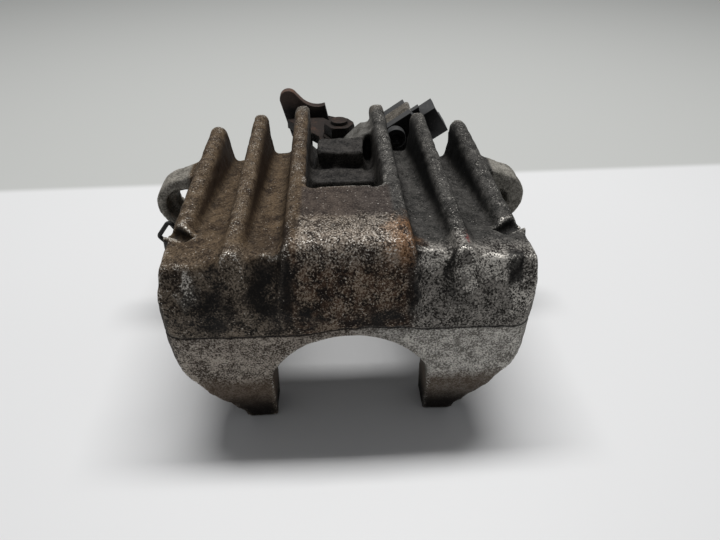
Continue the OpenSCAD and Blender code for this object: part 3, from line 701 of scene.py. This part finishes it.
machined = bare_metal | np.any(ear_zones, axis=0)
print("machined points:", int(machined.sum()), "of which bare:", int(bare_metal.sum()))

# %% [markdown]
# `smooth_vert` moves each point half way to the middle of its neighbours. Done alone it shrinks the
# ribs, so each round is followed by one that pushes the points back a little further: the stair
# steps of the skin go, and the ribs keep their height. The hollows are found by looking where a
# point's neighbours stand above it, and get a few more rounds without the push: that is the fillet.
# Noise then presses the skin in, most of all on the rib crests, where stones have hit, and on the
# rough lump in the window.


# %% Round the edges and fill the hollows
def relax(bm, verts, rounds, factor=0.5):
    for turn in range(rounds):
        bmesh.ops.smooth_vert(bm, verts=verts, factor=factor,
                              use_axis_x=True, use_axis_y=True, use_axis_z=True)
    bm.normal_update()


def even_out(bm, verts, rounds):
    for turn in range(rounds):
        relax(bm, verts, 1, 0.5)
        relax(bm, verts, 1, -0.53)


def rise(v):
    """How far the neighbours of a point stand above it, in millimetres."""
    middle = sum((e.other_vert(v).co for e in v.link_edges), Vector()) / len(v.link_edges)
    return (middle - v.co).dot(v.normal) / MM


def grown(verts, rings):
    found = set(verts)
    for ring in range(rings):
        found |= {e.other_vert(v) for v in list(found) for e in v.link_edges}
    return found


def hold(verts, inside, outside):
    """Brings points back that have left the solid by more than a limit, in millimetres."""
    for v in verts:
        at, normal = solid.find_nearest(v.co)[:2]
        off = (v.co - at).dot(normal) / MM
        if not -inside < off < outside:
            v.co = at + (v.co - at) * (inside if off < 0 else outside) / abs(off)


def in_notch(v):
    """The two notches in the outer ribs keep their sharp corners."""
    return abs(v.co.x) > 46 * MM and v.co.z > 36 * MM and abs(v.co.y / MM - notch_y) < 6


solid = BVHTree.FromBMesh(copy_of("caliper_housing"))
skin.verts.ensure_lookup_table()
cast = [v for v, cut in zip(skin.verts, machined) if not cut]
even_out(skin, cast, 5)
notch_y = pad_y + 9
hollow_rise = 0.06
hollow = grown([v for v in cast if rise(v) > hollow_rise and not in_notch(v)], 2) & set(cast)
relax(skin, list(hollow), 7)
relax(skin, cast, 1)
hold(cast, 0.3, 2.4)
print("filled hollows:", len(hollow), "of", len(cast), "cast points")

# %% Press the skin in, and lay the machined places back on the solid
low_corner, high_corner = (np.array(corner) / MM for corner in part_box("caliper_housing"))
press_in, broad_dent, fine_dent, crest_dent = 0.06, 0.2, 0.12, 0.4
seam_depth, lump_depth, lump_dent = 0.3, 0.35, 0.9
bore_play = 0.15
lump_front, lump_back = mouth_y + 11, mouth_y + 33
for v in cast:
    place = v.co / MM
    dent = broad_dent * noise.noise(place / 9) + fine_dent * noise.noise(place / 3.2)
    crest = min(max(-rise(v) * 10, 0), 1) * (place.z > 30)
    dent += crest * crest_dent * noise.noise(place / 5 + Vector((40, 0, 0)))
    if place.y < pad_y and abs(place.z - seam_height(place.x, fade)) < 0.6:
        dent += seam_depth
    if abs(place.x) < 12 and lump_front < place.y < lump_back and place.z > 28:
        dent += lump_depth + lump_dent * noise.noise(place / 4.5)
    v.co -= v.normal * (press_in + dent) * MM
for v, cut in zip(skin.verts, machined):
    if cut:
        v.co = solid.find_nearest(v.co)[0]
    radius = math.hypot(v.co.x, v.co.z) / MM
    if cut and mouth_y < v.co.y / MM < back_y and abs(radius - bore_r) < 0.6:
        v.co.x *= (bore_r + bore_play) / radius
        v.co.z *= (bore_r + bore_play) / radius
    v.co = Vector(np.clip(np.array(v.co) / MM, low_corner, high_corner)) * MM
skin.normal_update()
print("skin pressed in")

# %% [markdown]
# The finish asks where the skin bulges and where it is hollow. A second copy of the skin is smoothed
# hard, and the distance between the two tells both: a crest stands out of the smooth copy and a
# corner sinks into it. These masks, the machined one and the way each point looks are stored on the
# mesh, where the finish reads them.

# %% Paint wear, crevices and machining onto the skin
smooth_copy = skin.copy()
relax(smooth_copy, smooth_copy.verts, 8)
bulge = np.array([(v.co - s.co).dot(s.normal) / MM for v, s in zip(skin.verts, smooth_copy.verts)])
tilt = np.array([s.normal.z for s in smooth_copy.verts])
turn = np.array([abs(s.normal.x) for s in smooth_copy.verts])
smooth_copy.free()
for face in skin.faces:
    face.smooth = True
skin.to_mesh(housing.data)
skin.free()
masks = {"wear": np.clip(bulge / 0.4 - 0.25, 0, 1), "crevice": np.clip(-bulge / 0.5 - 0.1, 0, 1),
         "machined": bare_metal.astype(float), "upward": np.clip((tilt - 0.2) / 0.5, 0, 1),
         "sideways": np.clip((turn - 0.55) / 0.3, 0, 1)}
for name, values in masks.items():
    layer = housing.data.attributes.new(name, "FLOAT", "POINT")
    layer.data.foreach_set("value", values.astype(np.float32))
    print(name, "covers", round(float(values.mean()), 3))
settle(housing, "caliper_housing")

# %% [markdown]
# ## Stamped and turned parts
# The lever, bracket, bolt, nut and washer are close to their solids already. What they lack is the
# small round that a press, a tumbler or a file leaves on each edge, which is what catches the light.
# Flat triangles are dissolved into whole faces first, so that only true edges are left to bevel.


# %% Round over the edges of the steel parts
def soften(node, name, width, rounds=2):
    bm = copy_of(node)
    bmesh.ops.dissolve_limit(bm, angle_limit=math.radians(1), verts=bm.verts, edges=bm.edges)
    sharp = [e for e in bm.edges if len(e.link_faces) == 2 and e.calc_face_angle() > math.radians(35)]
    bmesh.ops.bevel(bm, geom=sharp, offset=width * MM, offset_type="OFFSET", affect="EDGES",
                    segments=rounds, profile=0.5, material=-1, clamp_overlap=True)
    for face in bm.faces:
        face.smooth = True
    settle(as_object(bm, name), node)


edge_rounds = [("parking_lever", "rusted_lever", 0.6), ("cable_bracket", "coated_bracket", 0.5),
               ("bracket_bolt", "socket_bolt", 0.3), ("lever_nut", "rusted_nut", 0.2),
               ("lever_washer", "rusted_washer", 0.15), ("stop_pin", "rest_pin", 0.15),
               ("cam_shaft", "turned_shaft", 0.25), ("piston", "ground_piston", 0.25),
               ("bleed_screw", "bleeder", 0.15), ("bleed_cap", "bleeder_cap", 0.3),
               ("boot_ring", "boot_band", 0.1)]
for node, name, width in edge_rounds:
    soften(node, name, width)

# %% [markdown]
# ## Bent wire and springs
# A wire piece is drawn the way that a wire bender works. It starts as a ring of points, goes straight
# by an extrusion, and swings round a centre by a spin, which can also lift it at each step and so
# winds a coil. The open ends are closed at last, and the normals made to look outwards.


# %% A small wire bender
def start_wire(bm, at, way, thick, sides=14):
    ring = bmesh.ops.create_circle(bm, segments=sides, radius=thick)["verts"]
    bmesh.ops.rotate(bm, verts=ring, cent=(0, 0, 0), matrix=way.to_track_quat("Z", "Y").to_matrix())
    bmesh.ops.translate(bm, verts=ring, vec=at)
    return list({e for v in ring for e in v.link_edges})


def go(bm, ring, vec):
    made = bmesh.ops.extrude_edge_only(bm, edges=ring)["geom"]
    ends = {g for g in made if isinstance(g, bmesh.types.BMVert)}
    bmesh.ops.translate(bm, verts=list(ends), vec=vec)
    return [g for g in made if isinstance(g, bmesh.types.BMEdge) and set(g.verts) <= ends]


def swing(bm, ring, centre, axis, angle, steps, lift=Vector()):
    verts = list({v for e in ring for v in e.verts})
    made = bmesh.ops.spin(bm, geom=verts + ring, cent=centre, axis=axis, dvec=lift / steps, angle=angle,
                          steps=steps, use_duplicate=False)["geom_last"]
    return [g for g in made if isinstance(g, bmesh.types.BMEdge)]


def bent(bm, corners, thick, bend):
    """A wire through a list of corners, with a round bend at each."""
    ways = [(b - a).normalized() for a, b in zip(corners, corners[1:])]
    ring = start_wire(bm, corners[0], ways[0], thick)
    at = corners[0]
    for corner, way, onward in zip(corners[1:], ways, ways[1:] + [None]):
        angle = way.angle(onward) if onward else 0
        stop = corner - way * bend * math.tan(angle / 2)
        ring = go(bm, ring, stop - at)
        if onward:
            axis = way.cross(onward).normalized()
            ring = swing(bm, ring, stop + axis.cross(way) * bend, axis, angle, 8)
            at = corner + onward * bend * math.tan(angle / 2)


def finish_wire(bm, name):
    bmesh.ops.holes_fill(bm, edges=[e for e in bm.edges if e.is_boundary], sides=0)
    bmesh.ops.recalc_face_normals(bm, faces=bm.faces)
    for face in bm.faces:
        face.smooth = len(face.verts) == 4
    return as_object(bm, name)


# %% Wire clip in the left ear
clip_box = [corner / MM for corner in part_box("wire_clip")]
clip_joint = next(j for j in record["behaviour"]["joints"] if j["name"] == "clip_swing")
clip_r, clip_bend = 0.9, 1.25
axis_x, axis_z = clip_joint["pos_m"][0] / MM, clip_joint["pos_m"][2] / MM
front_end, rear_end = clip_box[0].y + clip_r + 0.05, clip_box[1].y - clip_r - 0.05
loop = [(0, 0), (-2.5, 0.4), (-4, 3.9), (-9.5, -3.3), (-5.9, -8.3), (-2, -5)]
corners = [Vector((axis_x - 2.2, rear_end, axis_z - 2.2)), Vector((axis_x, rear_end, axis_z))]
corners += [Vector((axis_x + across, front_end, axis_z + high)) for across, high in loop]
bm = bmesh.new()
bent(bm, [corner * MM for corner in corners], clip_r * MM, clip_bend * MM)
settle(finish_wire(bm, "bent_clip"), "wire_clip")

# %% Torsion spring of the lever
wind_low, wind_high = (corner.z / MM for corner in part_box("return_spring"))
spring_wire, spring_r, spring_turns, leg = 0.9, 9.2, 2, 10
first = math.radians(68)
out = Vector((math.cos(first), math.sin(first), 0))
along = Vector((-math.sin(first), math.cos(first), 0))
low = Vector((0, shaft_y, wind_low + spring_wire)) + out * spring_r
climb = Vector((0, 0, wind_high - wind_low - 2 * spring_wire))
bm = bmesh.new()
ring = start_wire(bm, (low - along * leg) * MM, along, spring_wire * MM)
ring = go(bm, ring, along * leg * MM)
ring = swing(bm, ring, Vector((0, shaft_y, 0)) * MM, Vector((0, 0, 1)), spring_turns * 2 * math.pi,
             spring_turns * 40, climb * MM)
ring = go(bm, ring, along * leg * MM)
lever_spring = finish_wire(bm, "lever_spring")
settle(lever_spring, "return_spring", ride=False)
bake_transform(lever_spring)

# %% Coil behind the bore
coil_front, coil_rear = (corner.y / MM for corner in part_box("spindle_spring"))
coil_wire, coil_r, coil_turns = 0.8, 7.6, 4
bm = bmesh.new()
coil_start = Vector((coil_r, coil_front + coil_wire, 0))
ring = start_wire(bm, coil_start * MM, Vector((0, 0, 1)), coil_wire * MM)
length = Vector((0, coil_rear - coil_front - 2 * coil_wire, 0))
swing(bm, ring, Vector(), Vector((0, -1, 0)), coil_turns * 2 * math.pi, coil_turns * 36, length * MM)
push_coil = finish_wire(bm, "push_back_coil")
settle(push_coil, "spindle_spring", ride=False)
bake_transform(push_coil)

# %% [markdown]
# ## Bellows
# The dust boot is a thin rubber bellows between the ring in the cylinder's mouth and a groove in the
# piston. Only its half section is drawn: a bead, a zigzag of folds and a lip. A full spin turns it
# round the bore, and a wall is added after the normals are set.

# %% Turn the dust boot
boot_low, boot_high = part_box("dust_boot")
boot_front, boot_back = boot_low.y / MM, boot_high.y / MM
boot_r = boot_high.x / MM
fold_in, fold_out, folds = bore_r + 0.75, boot_r - 0.6, 4
rubber_t = 0.45
first_fold, last_fold = boot_back - 0.9, boot_front + 1.5
section = [(boot_r - 0.5, boot_back - 0.4), (fold_out, first_fold + 0.4)]
for fold in range(2 * folds):
    reach = fold_in if fold % 2 == 0 else fold_out
    section.append((reach, first_fold + (last_fold - first_fold) * fold / (2 * folds - 1)))
section += [(fold_in + 0.3, boot_front + 0.8), (bore_r - 1.2, boot_front + 0.7)]
bm = bmesh.new()
line = [bm.verts.new((r * MM, y * MM, 0)) for r, y in section]
wires = [bm.edges.new(pair) for pair in zip(line, line[1:])]
bmesh.ops.spin(bm, geom=line + wires, cent=(0, 0, 0), axis=(0, 1, 0), dvec=(0, 0, 0), angle=2 * math.pi,
               steps=96, use_merge=True, use_duplicate=False)
bmesh.ops.remove_doubles(bm, verts=bm.verts, dist=0.001 * MM)
bmesh.ops.recalc_face_normals(bm, faces=bm.faces)
bmesh.ops.solidify(bm, geom=bm.faces, thickness=rubber_t * MM)
for face in bm.faces:
    face.smooth = True
boot = as_object(bm, "bellows_boot")
settle(boot, "dust_boot", ride=False)
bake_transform(boot)

# %% [markdown]
# ## Floor and light
# The caliper stands on a plain pale table with a greyer room beyond its far edge. In the photograph
# the shadow falls towards the camera and has a fairly sharp end there but soft sides, as under a long
# lamp on the ceiling, a little behind the part. So one lamp is long across the picture and narrow
# along it, and the world fills the rest. Together they are set so that a flat pale surface comes out
# about as pale as its colour is written.

# %% Floor
floor_z = cad_box[0][2]
bm = bmesh.new()
bmesh.ops.create_grid(bm, x_segments=1, y_segments=1, size=4)
bmesh.ops.translate(bm, verts=bm.verts, vec=(0, 0, floor_z))
floor = as_object(bm, "table")
table_finish, shader, place = new_finish("pale_table")
haze = cloud(place, 300, 2)
x, y, z = axes(place)
table_edge, edge_slant = 120, 0.033
beyond = step(y - x * edge_slant, table_edge - 4, table_edge + 4)
table_tone = blend(haze, rgb(222, 222, 222), rgb(227, 227, 227))
coat(shader, haze, 0.01, base_color=blend(beyond, table_tone, rgb(190, 191, 188)), roughness=0.55)
floor.data.materials.append(table_finish)
print("floor at", round(floor_z / MM, 2), "mm")

# %% Lamp and world
lamp_long, lamp_wide, lamp_watts = 0.85, 0.15, 10.0
lamp_data = bpy.data.lights.new("ceiling_lamp", "AREA")
lamp_data.shape = "RECTANGLE"
lamp_data.size = lamp_long
lamp_data.size_y = lamp_wide
lamp_data.energy = lamp_watts
lamp = bpy.data.objects.new("ceiling_lamp", lamp_data)
aside, behind, height = 0.03, 0.25, 0.92
lean = Matrix.Rotation(-math.atan2(behind, height), 4, "X")
lamp.matrix_world = Matrix.Translation((aside, behind, height)) @ lean
bpy.context.scene.collection.objects.link(lamp)

world = bpy.data.worlds.new("pale_room")
bpy.context.scene.world = world
world.use_nodes = True
sky = world.node_tree.nodes["Background"]
sky.inputs["Color"].default_value = rgb(240, 242, 245)
sky.inputs["Strength"].default_value = 0.2
bpy.context.scene.view_settings.view_transform = "Standard"
print("lamp", lamp_long, "by", lamp_wide, "m,", round(lamp.matrix_world.translation.z, 2), "m up")
